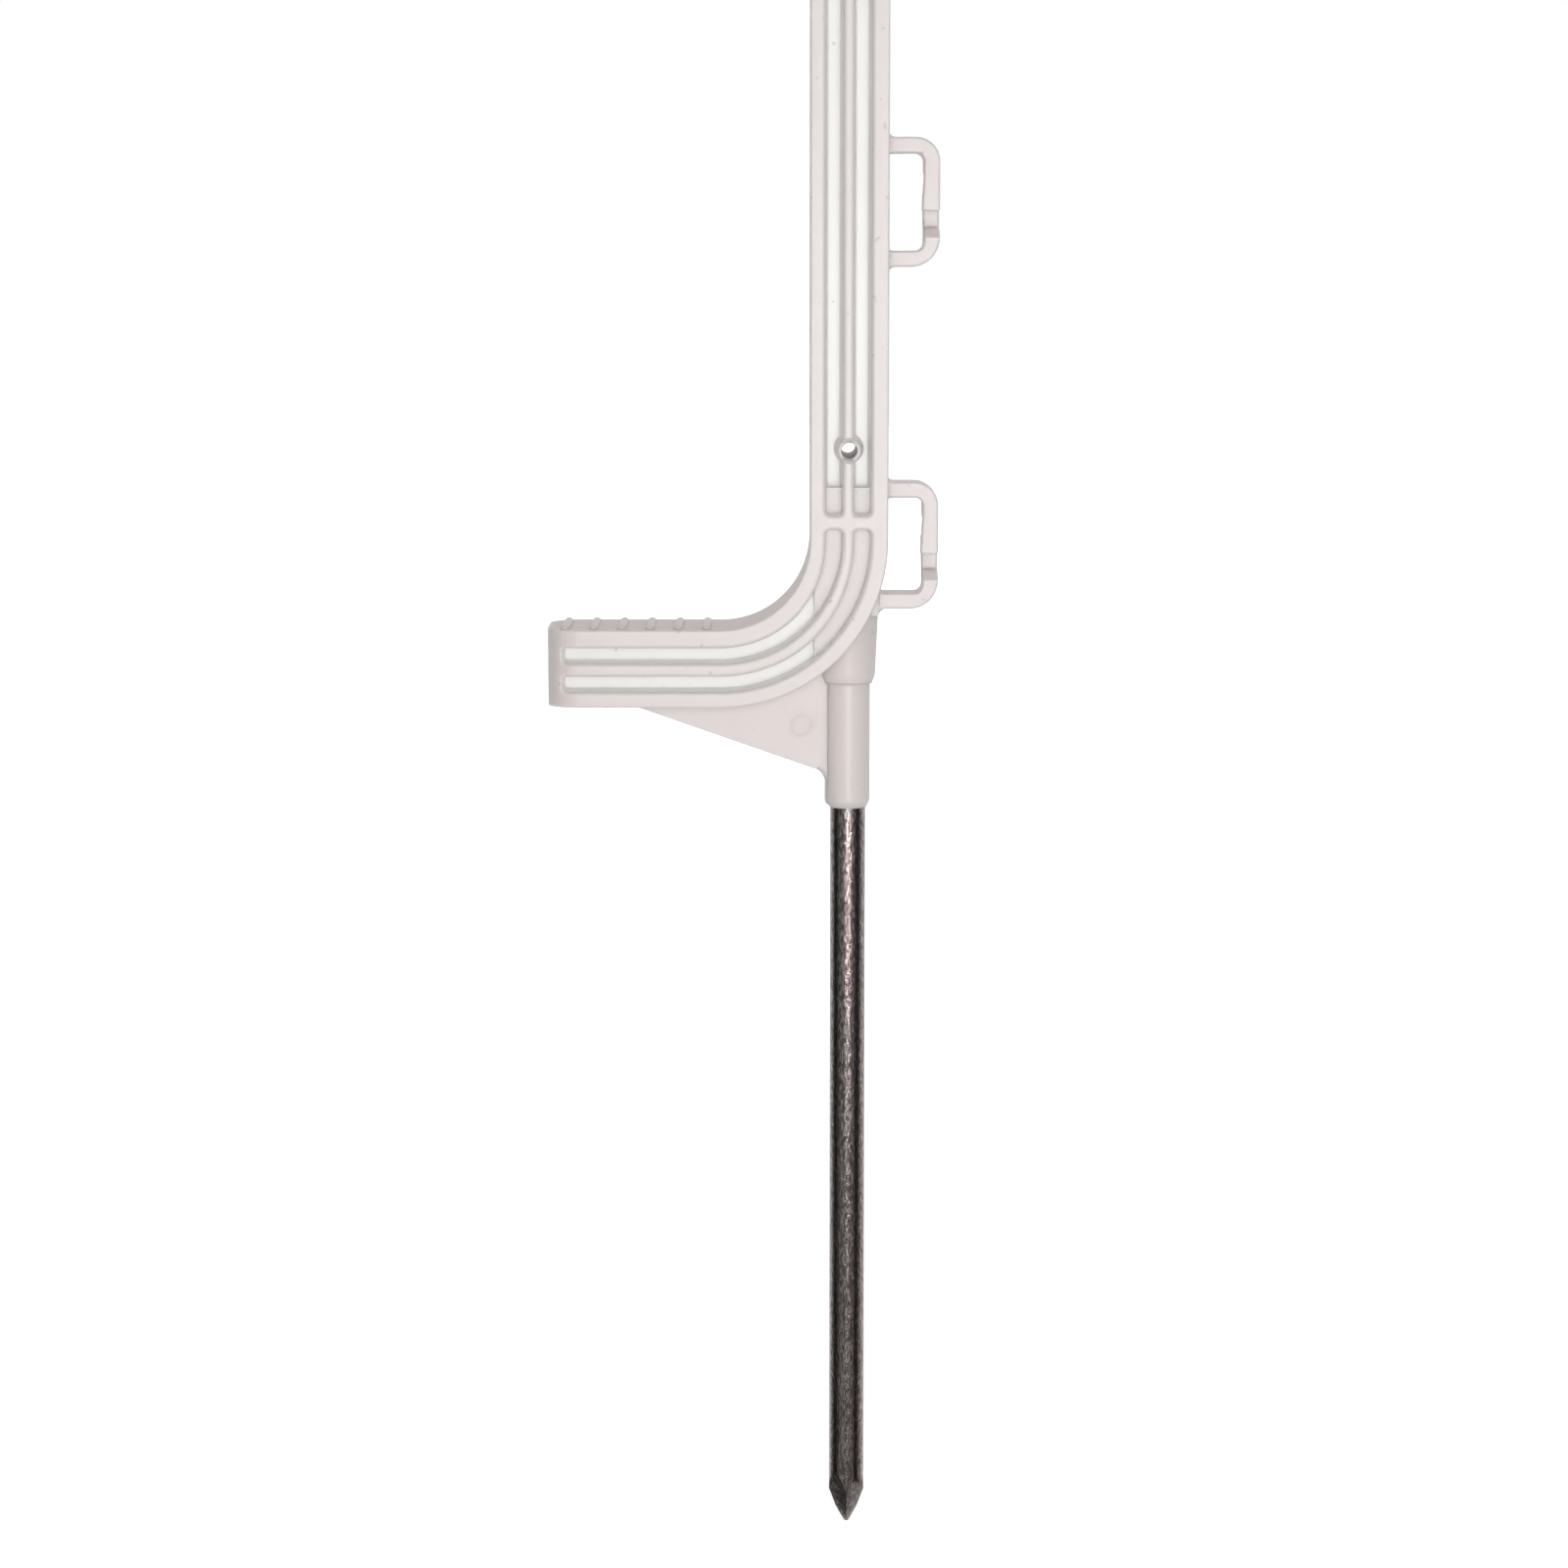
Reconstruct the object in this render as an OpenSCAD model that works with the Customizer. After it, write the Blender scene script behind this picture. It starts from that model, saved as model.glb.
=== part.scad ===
// Electric fence post, moulded plastic on a steel ground spike.
// Millimetres, +Z up. The origin is on the spike's axis where the spike leaves its socket.
// The tread foot points along -X, the wire loops along +X, and the ribbed faces look along -Y and +Y.

/* [Column] */
// Width of the column, and height of the tread foot
column_w = 19.5; // [17:0.5:24]
// Depth of the column and of the foot, front to back
column_d = 30; // [26:1:36]
// Length of the column above the topmost loop
top_margin = 30.5; // [28:0.5:60]
// Length of the closed head at the column's top
head_len = 26; // [16:1:26]
// Width of the flange on the foot's side
inner_flange_w = 3.8; // [3:0.1:4.4]
// Width of the flange that carries the loops
outer_flange_w = 4.3; // [3:0.1:5]
// Width of the rib between the two channels
rib_w = 2.7; // [2:0.1:3.4]
// Thickness of the web at the bottom of the channels
web_t = 5; // [4:0.5:7]
// Draft of the channels' walls, in degrees
draft = 3; // [1:0.5:4]
// Radius along the outer edges
edge_r = 0.8; // [0.4:0.1:1.2]
// Radius of the corners of the free ends, seen from above
end_r = 8; // [5:0.5:10]
// Wall that closes the channels at the free ends
end_wall = 4; // [2:0.5:6]

/* [Wire loops] */
// Number of loops up the column
loop_count = 6; // [2:1:6]
// Distance from one loop to the next
loop_pitch = 85.5; // [60:0.5:120]
// Height of the lowest loop's middle above the socket's lower end
first_loop_z = 67; // [66:0.5:72]
// Height of a loop over its two arms
loop_h = 32; // [28:0.5:36]
// Reach of a loop from the column's face
loop_reach = 12.8; // [11:0.1:16]
// Thickness of the arms and fingers
bar_t = 4; // [3:0.1:5]
// Depth of a loop, front to back
loop_d = 11; // [9:0.5:14]
// Gap between the two fingers that pass each other
finger_gap = 0.8; // [0.5:0.1:1.5]
// Length by which the fingers pass each other
finger_lap = 4; // [2:0.5:6]
// Length of a finger, from the step where its bar becomes thinner
finger_len = 8.4; // [7:0.1:10]
// Outer radius of a loop's upper corner
loop_r = 6; // [5:0.1:8]
// Outer radius of a loop's lower corner
lower_loop_r = 7.2; // [5:0.1:8]
// Inner radius of both corners
loop_inner_r = 2; // [1:0.1:3]
// Radius where an arm grows out of the column
root_r = 1.7; // [0.8:0.1:2.4]
// Widening of a finger towards its end
finger_flare = 0.4; // [0:0.1:0.8]

/* [Tread foot] */
// Inner radius of the bend between the column and the foot
bend_r = 22.5; // [18:0.5:26]
// Length of the straight foot beyond the bend
foot_len = 43.5; // [38:0.5:60]
// Height of the foot's underside above the socket's lower end
foot_z = 27; // [24:0.5:32]
// Distance from the bend to the first tread ridge
first_ridge = 3.5; // [2:0.1:5]
// Number of tread ridges on top of the foot, as far as they find room
ridge_count = 6; // [3:1:7]
// Distance from one ridge to the next
ridge_pitch = 7.1; // [5:0.1:7.2]
// Distance from a ridge's ends to the faces of the foot
ridge_margin = 3; // [1:0.5:4]
// Width of a ridge at its foot
ridge_w = 2.2; // [1.2:0.1:2.6]
// Height of a ridge
ridge_h = 0.9; // [0.4:0.1:1.2]

/* [Spike and socket] */
// Diameter of the steel spike
spike_dia = 9; // [7:0.5:10]
// Length of the spike below the socket
spike_len = 189; // [120:1:240]
// Length of the four flats at the point
point_len = 13.6; // [10:0.1:20]
// Step by which the shank that is anchored in the plastic is smaller in radius than the spike
shank_step = 0.3; // [0.1:0.1:1]
// Height of the solid core around the shank, above the bend
core_rise = 12.8; // [10:0.1:16]
// Plastic in front of the spike and behind it, inside the core
core_wall = 5.5; // [4:0.1:6]
// Plastic between the spike and the core's side towards the foot
core_side_wall = 4.1; // [2:0.1:4.2]
// Plastic left above the spike's upper end
spike_cover = 2.5; // [1.5:0.5:4]
// Height above the bend of the rib that crosses the channels in front of the core
cross_rib_rise = 2.6; // [1:0.1:4]
// Width of that cross rib
cross_rib_w = 3.6; // [2:0.1:5]
// Wall of the socket's tube around the spike
tube_wall = 1.1; // [1:0.1:2]
// Wall of the collar around the spike at its lower edge
collar_wall = 2.4; // [2.2:0.1:3.2]
// Height of the collar's lower edge above the socket's lower end
collar_z = 34; // [32:0.5:38]
// Taper of the collar, in degrees
collar_taper = 2.6; // [1:0.1:4]
// Thickness of the gusset plate
gusset_t = 4; // [3:0.1:5]
// Angle of the gusset's lower edge, in degrees
gusset_slope = 19.3; // [14:0.1:20]

/* [Wire hole] */
// Diameter of the hole through the column
hole_dia = 3.8; // [3:0.1:4.6]
// Height of the hole above the spike's solid core
hole_rise = 9.5; // [8:0.5:14]
// Wall of the boss around the hole, at its front face
boss_wall = 0.95; // [0.8:0.05:1.2]
// Growth of the boss in radius, from its front face to the web
boss_flare = 1.15; // [0.6:0.05:1.6]
// Distance of the boss's front face behind the rib's
boss_setback = 0.8; // [0.4:0.1:1.2]

/* [Hidden] */
$fn = 64;

// Overshoot of a cut beyond the face it goes through
over = 1;
// Segments of a full turn of the bend
bend_fn = 128;
plastic = "#e4dcda";
steel = "#3c3531";

// Section of the column: two flanges, a rib and a web. The channels lie at these places across it
half_w = column_w / 2;
half_d = column_d / 2;
channel_w = (column_w - inner_flange_w - outer_flange_w - rib_w) / 2;
inner_channel_x = -half_w + inner_flange_w + channel_w / 2;
outer_channel_x = half_w - outer_flange_w - channel_w / 2;

// Bend: its centre in the XZ plane
bend_outer_r = bend_r + column_w;
bend_x = -half_w - bend_r;
bend_z = foot_z + bend_outer_r;

// Tread ridges that find room before the foot's end wall
ridge_total = min(ridge_count, 1 + floor((foot_len - end_wall - first_ridge) / ridge_pitch));

// Height of a loop's middle, counted from the lowest
function loop_z(i) = first_loop_z + (i - 1) * loop_pitch;

// Plain column between the bend and the head
column_top = loop_z(loop_count) + loop_h / 2 + top_margin;
column_len = column_top - head_len - bend_z;

// Solid core that holds the spike, and the rib across the channels below its top
spike_r = spike_dia / 2;
shank_r = spike_r - shank_step;
core_half_d = spike_r + core_wall;
core_x = -spike_r - core_side_wall;
core_top = bend_z + core_rise;
cross_rib_z = bend_z + cross_rib_rise;
spike_top = core_top - spike_cover;

// Socket: tube, chamfer and collar
tube_r = spike_r + tube_wall;
collar_r = spike_r + collar_wall;
collar_chamfer = collar_r - tube_r;
collar_top_r = min(collar_r + (bend_z - collar_z) * tan(collar_taper), half_w - edge_r);
tube_end_chamfer = 0.8 * tube_wall;

// Wire hole
hole_z = core_top + hole_rise;
boss_r = hole_dia / 2 + boss_wall;
boss_foot_r = boss_r + boss_flare;
boss_half_d = half_d - boss_setback;

// Rectangle from its centre with rounded corners, as squares and circles
module rounded_rect(w, d, r) {
    square([w - 2 * r, d], center = true);
    square([w, d - 2 * r], center = true);
    for (sx = [-1, 1], sy = [-1, 1])
        translate([sx * (w / 2 - r), sy * (d / 2 - r)]) circle(r);
}

// Shifts its children along Z to a span from z0 to z1
module span(z0, z1) {
    translate([0, 0, z0]) linear_extrude(z1 - z0) children();
}

// Outline of the section across the column
module section_outline() {
    rounded_rect(column_w, column_d, edge_r);
}

// The four channels of the section, down to a floor at the given distance from the middle.
// Their walls lean outwards by the draft, so a shallow channel is cut from the same mouth.
module section_channels(floor_y) {
    depth = half_d - floor_y;
    mouth = channel_w / 2 + over * tan(draft);
    floor_half_w = channel_w / 2 - depth * tan(draft);
    for (x = [inner_channel_x, outer_channel_x], side = [-1, 1])
        translate([x, 0])
            polygon([
                [-floor_half_w, side * floor_y],
                [floor_half_w, side * floor_y],
                [mouth, side * (half_d + over)],
                [-mouth, side * (half_d + over)]]);
}

// A straight length of the section that ends at z = len in a closed, rounded end
module closed_end(len) {
    difference() {
        intersection() {
            span(0, len) section_outline();
            translate([0, 0, len / 2]) rotate([90, 0, 90])
                translate([0, 0, -half_w - over]) linear_extrude(column_w + 2 * over)
                    union() {
                        rounded_rect(column_d, len, end_r);
                        translate([-half_d, -len / 2]) square([column_d, len - end_r]);
                    }
        }
        span(-over, len - end_wall) section_channels(web_t / 2);
    }
}

// Space of the spike's shank inside the plastic
module shank_space() {
    translate([0, 0, -over]) cylinder(h = spike_top + over, r = shank_r);
}

// Everything within the outline of foot, bend and column seen from the front
module moulding_space() {
    rotate([90, 0, 0]) linear_extrude(column_d + 2 * over, center = true) {
        translate([-half_w, bend_z]) square([column_w, column_len + head_len]);
        intersection() {
            translate([bend_x, bend_z]) difference() {
                circle(bend_outer_r, $fn = bend_fn);
                circle(bend_r, $fn = bend_fn);
            }
            translate([bend_x, bend_z - bend_outer_r]) square(bend_outer_r);
        }
        translate([bend_x - foot_len, foot_z]) square([foot_len, column_w]);
    }
}

// Tube and collar as one revolved solid, before the bend and the spike are taken away
module socket_body() {
    rotate_extrude() polygon([
        [0, 0],
        [tube_r - tube_end_chamfer, 0],
        [tube_r, 2 * tube_end_chamfer],
        [tube_r, collar_z - 1.6 * collar_chamfer],
        [collar_r, collar_z],
        [collar_top_r, bend_z],
        [0, bend_z]]);
}

module steel_spike() {
    point_flat = 0.4;
    slope = atan((spike_r - point_flat) / point_len);
    color(steel) difference() {
        union() {
            translate([0, 0, -spike_len]) cylinder(h = spike_len, r = spike_r);
            translate([0, 0, -over]) cylinder(h = spike_top + over, r = shank_r);
        }
        for (a = [45 : 90 : 315])
            rotate(a) translate([point_flat, 0, -spike_len]) rotate([0, slope, 0])
                translate([0, -spike_dia, -point_len])
                    cube([spike_dia, 2 * spike_dia, 3 * point_len]);
    }
}

module spike_socket() {
    color(plastic) difference() {
        socket_body();
        shank_space();
        moulding_space();
    }
}

module gusset_plate() {
    fin_proud = 0.3;
    fin_x = -tube_r - fin_proud;
    fin_foot_z = 0.4;
    corner_z = 9;
    top_z = foot_z + over;
    fillet_r = 3.5;
    fillet_centre = [fin_x, corner_z]
        + fillet_r * [-1, tan(gusset_slope) - 1 / cos(gusset_slope)];
    color(plastic) difference() {
        rotate([90, 0, 0]) linear_extrude(gusset_t, center = true)
            polygon(concat(
                [[fin_x, fin_foot_z],
                 [0, fin_foot_z],
                 [0, bend_z],
                 [bend_x, top_z],
                 [fin_x - (top_z - corner_z) / tan(gusset_slope), top_z]],
                [for (k = [0 : 8])
                    let (a = (90 - gusset_slope) * (1 - k / 8))
                    fillet_centre + fillet_r * [cos(a), sin(a)]]));
        socket_body();
        moulding_space();
    }
}

module tread_foot() {
    color(plastic) {
        translate([bend_x, 0, foot_z + half_w]) rotate([0, -90, 0]) rotate(180)
            closed_end(foot_len);
        for (i = [0 : ridge_total - 1])
            translate([bend_x - first_ridge - i * ridge_pitch, 0, foot_z + column_w])
                tread_ridge();
    }
}

// One ridge across the foot, with sloping ends
module tread_ridge() {
    ridge_l = column_d - 2 * ridge_margin;
    slope_l = 1.3 * ridge_h;
    sink = 0.2;
    intersection() {
        rotate([90, 0, 0]) linear_extrude(ridge_l, center = true)
            polygon([
                [-ridge_w / 2, -sink],
                [ridge_w / 2, -sink],
                [ridge_w / 2, 0],
                [0, ridge_h],
                [-ridge_w / 2, 0]]);
        rotate([90, 0, 90]) linear_extrude(ridge_w, center = true)
            polygon([
                [-ridge_l / 2, -sink],
                [ridge_l / 2, -sink],
                [ridge_l / 2, 0],
                [ridge_l / 2 - slope_l, ridge_h],
                [slope_l - ridge_l / 2, ridge_h],
                [-ridge_l / 2, 0]]);
    }
}

module foot_bend() {
    color(plastic) difference() {
        bend_sweep() section_outline();
        difference() {
            bend_sweep() section_channels(web_t / 2);
            translate([core_x, -core_half_d, 0]) cube([column_w * 2, 2 * core_half_d, core_top]);
        }
        shank_space();
    }
}

// Sweeps a section around the bend, from the column to the foot
module bend_sweep() {
    translate([bend_x, 0, bend_z]) rotate([90, 0, 0]) rotate([0, 0, -90])
        rotate_extrude(angle = 90, $fn = bend_fn)
            translate([bend_r + half_w, 0]) children();
}

module column() {
    deep = web_t / 2;
    color(plastic) difference() {
        span(bend_z, bend_z + column_len) section_outline();
        span(bend_z - over, cross_rib_z) section_channels(core_half_d);
        span(cross_rib_z + cross_rib_w, core_top) section_channels(core_half_d);
        span(core_top, bend_z + column_len + over) section_channels(deep);
        boss_body();
        boss_relief();
        shank_space();
    }
}

// Two cones back to back around the wire hole
module boss_body() {
    translate([0, 0, hole_z]) for (a = [0, 180])
        rotate([90, 0, a]) cylinder(h = boss_half_d, r1 = boss_foot_r, r2 = boss_r);
}

// Recess in the rib in front of the boss, on both faces
module boss_relief() {
    relief_gap = 0.6;
    translate([0, 0, hole_z]) for (a = [0, 180])
        rotate([90, 0, a]) translate([0, 0, boss_half_d])
            cylinder(h = half_d - boss_half_d + over, r = boss_r + relief_gap);
}

module wire_boss() {
    color(plastic) difference() {
        boss_body();
        translate([0, 0, hole_z]) rotate([90, 0, 0])
            cylinder(h = column_d + 2 * over, d = hole_dia, center = true);
    }
}

module column_head() {
    color(plastic) translate([0, 0, bend_z + column_len]) closed_end(head_len);
}

// Area under a rounded corner at (x, top), down to the finger's end
module corner_area(left, x, top, r) {
    bottom = -finger_lap / 2;
    translate([left, bottom]) square([x - left, top - r - bottom]);
    translate([left, bottom]) square([x - r - left, top - bottom]);
    translate([x - r, top - r]) circle(r);
}

// Front view of an upper hook: arm from x = root, corner, and bar down to the finger's end
module hook_outline(root, outer_r) {
    top = loop_h / 2;
    bar_x = loop_reach - bar_t;
    tip_z = -finger_lap / 2;
    tip_chamfer = 0.5;
    flare_z = top - bar_t - loop_inner_r;
    difference() {
        corner_area(root - over, loop_reach, top, outer_r);
        corner_area(root - 2 * over, bar_x, top - bar_t, loop_inner_r);
        translate([root - 2 * over, tip_z - over])
            square([bar_x - root + 2 * over, 2 * over]);
    }
    translate([root, top]) root_fillet();
    polygon([
        [bar_x + over, flare_z],
        [bar_x, flare_z],
        [bar_x - finger_flare, tip_z + tip_chamfer],
        [bar_x - finger_flare + tip_chamfer, tip_z],
        [bar_x + over, tip_z]]);
}

// Concave fillet above an arm, against the face at x = 0
module root_fillet() {
    difference() {
        translate([-over, -over]) square(root_r + over);
        translate([root_r, root_r]) circle(root_r);
    }
}

// One hook in its own frame: x from the column's face, z from the loop's middle
module hook_body(root, outer_r) {
    thin = (loop_d - finger_gap) / 2;
    difference() {
        rotate([90, 0, 0]) linear_extrude(loop_d, center = true) hook_outline(root, outer_r);
        translate([0, thin - loop_d / 2, -loop_h])
            cube([loop_reach + over, loop_d, loop_h - finger_lap / 2 + finger_len]);
    }
}

module upper_hook(i) {
    color(plastic) difference() {
        translate([half_w, 0, loop_z(i)]) hook_body(0, loop_r);
        moulding_space();
    }
}

// The same hook turned over; the lowest one grows out of the collar and the bend
module lower_hook(i) {
    arm_z = loop_z(i) - loop_h / 2;
    collar_slope = (collar_top_r - collar_r) / (bend_z - collar_z);
    collar_x = collar_r + (arm_z - collar_z) * collar_slope - half_w;
    root = arm_z < bend_z ? collar_x : 0;
    color(plastic) difference() {
        translate([half_w, 0, loop_z(i)]) rotate([180, 0, 0]) hook_body(root, lower_loop_r);
        moulding_space();
        socket_body();
    }
}

steel_spike();
spike_socket();
gusset_plate();
tread_foot();
foot_bend();
column();
wire_boss();
column_head();
for (i = [1 : loop_count]) {
    upper_hook(i);
    lower_hook(i);
}
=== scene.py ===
import math

import bmesh
import bpy
from mathutils import Matrix, Vector


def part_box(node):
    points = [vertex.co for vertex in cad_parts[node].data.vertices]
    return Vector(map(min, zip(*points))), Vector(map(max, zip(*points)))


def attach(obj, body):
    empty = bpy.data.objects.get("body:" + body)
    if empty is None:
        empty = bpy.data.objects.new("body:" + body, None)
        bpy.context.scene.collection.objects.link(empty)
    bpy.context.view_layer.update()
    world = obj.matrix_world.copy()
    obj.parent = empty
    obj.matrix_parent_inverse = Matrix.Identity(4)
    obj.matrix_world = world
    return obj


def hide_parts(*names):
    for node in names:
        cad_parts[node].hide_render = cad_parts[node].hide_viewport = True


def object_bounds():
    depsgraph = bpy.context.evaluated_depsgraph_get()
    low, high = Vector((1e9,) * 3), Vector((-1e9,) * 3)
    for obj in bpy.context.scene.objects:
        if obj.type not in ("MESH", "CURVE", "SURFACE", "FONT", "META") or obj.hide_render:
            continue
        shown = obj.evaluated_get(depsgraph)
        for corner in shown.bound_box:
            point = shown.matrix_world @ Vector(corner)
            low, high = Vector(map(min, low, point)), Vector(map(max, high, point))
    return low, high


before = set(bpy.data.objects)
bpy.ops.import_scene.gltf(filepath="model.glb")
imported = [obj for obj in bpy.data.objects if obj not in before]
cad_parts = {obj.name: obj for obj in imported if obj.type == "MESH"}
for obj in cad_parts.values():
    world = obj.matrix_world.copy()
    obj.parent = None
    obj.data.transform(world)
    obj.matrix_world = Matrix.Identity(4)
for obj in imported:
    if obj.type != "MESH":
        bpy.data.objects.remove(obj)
cad_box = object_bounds()
mm = 0.001


# ---- Studio -------------------------------------------------------------------------------
# A plain pale floor just under the spike's point and a white room behind it. Soft lamps stand
# beside the camera, so that they look into the narrow channels of the column.
scene = bpy.context.scene
scene.view_settings.view_transform = "Standard"

camera_data = bpy.data.cameras.new("camera")
camera_data.lens = 89.1
camera_data.sensor_width = 36
camera_data.clip_start = 0.01
camera = bpy.data.objects.new("camera", camera_data)
camera.location = (-16.25 * mm, -980.4 * mm, 143.5 * mm)
camera.rotation_euler = (math.radians(82), 0, 0)
scene.collection.objects.link(camera)
scene.camera = camera


def new_object(name, bm):
    mesh = bpy.data.meshes.new(name)
    bm.to_mesh(mesh)
    bm.free()
    obj = bpy.data.objects.new(name, mesh)
    scene.collection.objects.link(obj)
    return obj


def new_material(name):
    material = bpy.data.materials.new(name)
    material.use_nodes = True
    nodes = material.node_tree.nodes
    nodes.clear()
    out = nodes.new("ShaderNodeOutputMaterial")
    return material, nodes, material.node_tree.links, out


floor_r = 6
floor_gap = 1 * mm
floor_bm = bmesh.new()
bmesh.ops.create_circle(floor_bm, cap_ends=True, radius=floor_r, segments=96)
bmesh.ops.translate(floor_bm, verts=floor_bm.verts, vec=(0, 0, cad_box[0].z - floor_gap))
floor = new_object("studio_floor", floor_bm)


def room_ramp(nodes, links, direction, stops, turned=0):
    """Grey of the room by direction, from the camera's side at 0 to behind the object at 1."""
    back = nodes.new("ShaderNodeVectorMath")
    back.operation = "DOT_PRODUCT"
    back.inputs[1].default_value = (math.sin(turned), math.cos(turned), 0)
    links.new(direction, back.inputs[0])
    half = nodes.new("ShaderNodeMapRange")
    half.inputs["From Min"].default_value = -1
    links.new(back.outputs["Value"], half.inputs["Value"])
    ramp = nodes.new("ShaderNodeValToRGB")
    first, last = ramp.color_ramp.elements
    first.position, first.color = stops[0][0], (stops[0][1],) * 3 + (1,)
    last.position, last.color = stops[-1][0], (stops[-1][1],) * 3 + (1,)
    for place, grey in stops[1:-1]:
        ramp.color_ramp.elements.new(place).color = (grey, grey, grey, 1)
    links.new(half.outputs["Result"], ramp.inputs["Fac"])
    return ramp.outputs["Color"]


# Gloss sees a dim room around the camera, a black flag at each side and white behind
seen_in_gloss = [(0, 0.34), (0.20, 0.30), (0.27, 0.03), (0.57, 0.02), (0.64, 0.9), (1, 1.0)]
flags_turned = math.radians(7)

# The paper shows the shadow near the spike and runs out to plain white further off
shadow_reach = 0.22
white_from = 0.9
paper, nodes, links, out = new_material("studio_paper")
surface = nodes.new("ShaderNodeBsdfDiffuse")
surface.inputs["Color"].default_value = (0.8, 0.8, 0.8, 1)
glow = nodes.new("ShaderNodeEmission")
path = nodes.new("ShaderNodeLightPath")
place = nodes.new("ShaderNodeTexCoord")
reach = nodes.new("ShaderNodeVectorMath")
reach.operation = "LENGTH"
links.new(place.outputs["Object"], reach.inputs[0])
far = nodes.new("ShaderNodeMapRange")
far.inputs["From Min"].default_value = shadow_reach
far.inputs["From Max"].default_value = white_from
far.inputs["To Min"].default_value = 0.60
far.inputs["To Max"].default_value = 1.0
links.new(reach.outputs["Value"], far.inputs["Value"])
strength = nodes.new("ShaderNodeMath")
strength.operation = "MULTIPLY"
links.new(path.outputs["Is Camera Ray"], strength.inputs[0])
links.new(far.outputs["Result"], strength.inputs[1])
links.new(strength.outputs[0], glow.inputs["Strength"])
both = nodes.new("ShaderNodeAddShader")
links.new(surface.outputs[0], both.inputs[0])
links.new(glow.outputs[0], both.inputs[1])
flat = nodes.new("ShaderNodeVectorMath")
flat.operation = "MULTIPLY_ADD"
flat.inputs[1].default_value = (1, 1, 0)
flat.inputs[2].default_value = (0, 1 * mm, 0)
links.new(place.outputs["Object"], flat.inputs[0])
around = nodes.new("ShaderNodeVectorMath")
around.operation = "NORMALIZE"
links.new(flat.outputs[0], around.inputs[0])
mirrored = nodes.new("ShaderNodeEmission")
links.new(
    room_ramp(nodes, links, around.outputs["Vector"], seen_in_gloss, flags_turned),
    mirrored.inputs["Color"])
in_gloss = nodes.new("ShaderNodeMixShader")
links.new(path.outputs["Is Glossy Ray"], in_gloss.inputs["Fac"])
links.new(both.outputs[0], in_gloss.inputs[1])
links.new(mirrored.outputs[0], in_gloss.inputs[2])
links.new(in_gloss.outputs[0], out.inputs["Surface"])
floor.data.materials.append(paper)

# The room is white where it is seen, and its fill light on the surfaces is weaker at the sides
fill_light = [(0, 0.42), (0.5, 0.30), (1, 1.2)]
world = bpy.data.worlds.new("studio_room")
scene.world = world
world.use_nodes = True
world.cycles.sampling_method = "NONE"
nodes = world.node_tree.nodes
links = world.node_tree.links
nodes.clear()
out = nodes.new("ShaderNodeOutputWorld")
direction = nodes.new("ShaderNodeTexCoord").outputs["Generated"]
fill = nodes.new("ShaderNodeBackground")
links.new(room_ramp(nodes, links, direction, fill_light), fill.inputs["Color"])
axes = nodes.new("ShaderNodeSeparateXYZ")
links.new(direction, axes.inputs[0])
from_left = nodes.new("ShaderNodeMapRange")
from_left.inputs["From Min"].default_value = -1
from_left.inputs["To Min"].default_value = 0.78
from_left.inputs["To Max"].default_value = 1.0
links.new(axes.outputs["X"], from_left.inputs["Value"])
links.new(from_left.outputs["Result"], fill.inputs["Strength"])
flags = nodes.new("ShaderNodeBackground")
links.new(
    room_ramp(nodes, links, direction, seen_in_gloss, flags_turned), flags.inputs["Color"])
white = nodes.new("ShaderNodeBackground")
white.inputs["Color"].default_value = (1, 1, 1, 1)
path = nodes.new("ShaderNodeLightPath")
in_gloss = nodes.new("ShaderNodeMixShader")
links.new(path.outputs["Is Glossy Ray"], in_gloss.inputs["Fac"])
links.new(fill.outputs[0], in_gloss.inputs[1])
links.new(flags.outputs[0], in_gloss.inputs[2])
choose = nodes.new("ShaderNodeMixShader")
links.new(path.outputs["Is Camera Ray"], choose.inputs["Fac"])
links.new(in_gloss.outputs[0], choose.inputs[1])
links.new(white.outputs[0], choose.inputs[2])
links.new(choose.outputs[0], out.inputs["Surface"])


def soft_lamp(name, place, aim, width, height, watts):
    data = bpy.data.lights.new(name, "AREA")
    data.shape = "RECTANGLE"
    data.size = width
    data.size_y = height
    data.energy = watts
    lamp = bpy.data.objects.new(name, data)
    lamp.location = place
    lamp.rotation_euler = (Vector(aim) - Vector(place)).to_track_quat("-Z", "Y").to_euler()
    scene.collection.objects.link(lamp)


soft_lamp("lamp_front", (0.03, -1.0, 0.12), (0, 0, 0.10), width=0.24, height=0.38, watts=2.6)
soft_lamp("lamp_wide", (0.05, -1.0, 0.11), (0, 0, 0.10), width=0.9, height=0.2, watts=1.7)
soft_lamp("lamp_strip", (0.07, -1.0, -0.05), (0, 0, -0.05), width=0.08, height=0.27, watts=0.95)
soft_lamp("lamp_top", (0.2, -0.9, 1.5), (0, 0, 0.1), width=0.8, height=0.8, watts=1.2)


# ---- Plastic ------------------------------------------------------------------------------
# All white pieces are one moulding in UV-stable plastic, warm off-white with a pale sheen.
# The channel floors and walls and a few other hollows take a whiter plastic. That is painted
# light: the thin web lets light through from behind, and the whiter colour stands in for it and
# for the shade it lifts. The random tones, specks and grain come from noise textures.
body_color = (0.722, 0.665, 0.65, 1)
web_painted_light_color = (0.985, 0.97, 0.955, 1)
grime_color = (0.60, 0.53, 0.50, 1)
dirt_color = (0.36, 0.29, 0.24, 1)


def noise(nodes, links, vector, scale, detail):
    """Noise in the piece's own coordinates."""
    texture = nodes.new("ShaderNodeTexNoise")
    texture.inputs["Scale"].default_value = scale
    texture.inputs["Detail"].default_value = detail
    links.new(vector, texture.inputs["Vector"])
    return texture


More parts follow.
